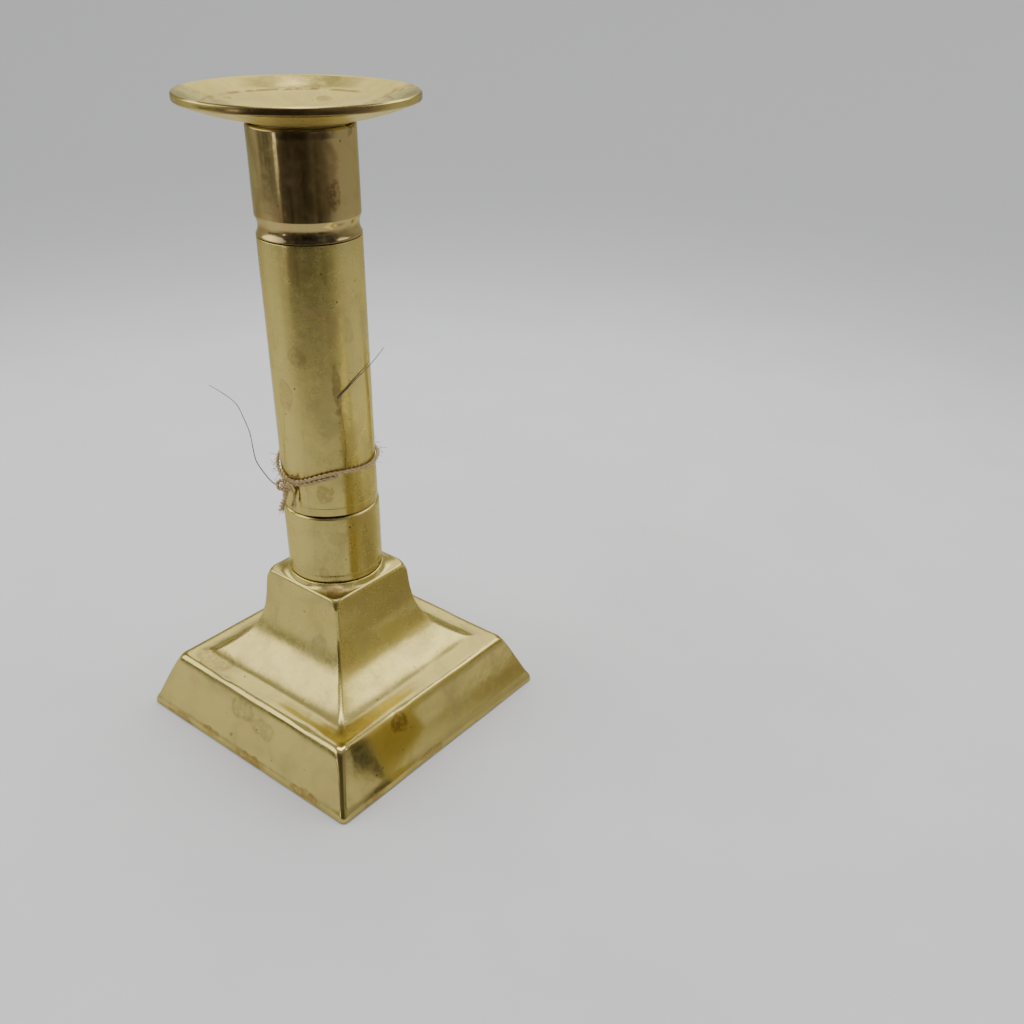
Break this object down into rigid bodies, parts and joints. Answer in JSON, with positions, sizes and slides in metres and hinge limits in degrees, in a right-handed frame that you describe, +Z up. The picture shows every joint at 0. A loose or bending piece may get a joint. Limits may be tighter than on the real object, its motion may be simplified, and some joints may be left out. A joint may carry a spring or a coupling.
{
  "type": "candlestick",
  "caption": "Brass column candlestick on a hollow square coved foot, with a lift-out drip pan and candle socket, and twine tied round the column.",
  "frame": {"origin": "centre of the square that the foot's rim stands on", "axes": "+Z up along the column to the drip pan; X and Y square to the foot's sides"},
  "size_m": [0.084, 0.084, 0.1745],
  "materials": {
    "base_brass": "polished pale cast brass with light tarnish, blackened underneath",
    "column_brass": "satin pale brass with faint stains and scratches",
    "ferrule_brass": "polished brass browned by tarnish",
    "pan_brass": "polished pale brass",
    "solder": "dull grey soft solder",
    "twine": "matte twisted brown fibre"
  },
  "bodies": {
    "candlestick": {"base_casting": "base_brass", "solder_fillet": "solder", "foot_ferrule": "column_brass", "column_tube": "column_brass", "top_ferrule": "ferrule_brass", "twine_loop": "twine", "twine_knot": "twine", "twine_tail_long": "twine", "twine_tail_short": "twine"},
    "nozzle": {"drip_pan": "pan_brass", "candle_socket": "pan_brass"}
  },
  "joints": [
    {"name": "nozzle_lift", "type": "slide", "parent": "candlestick", "child": "nozzle", "axis": [0, 0, 1], "range_m": [0, 0.03]}
  ]
}
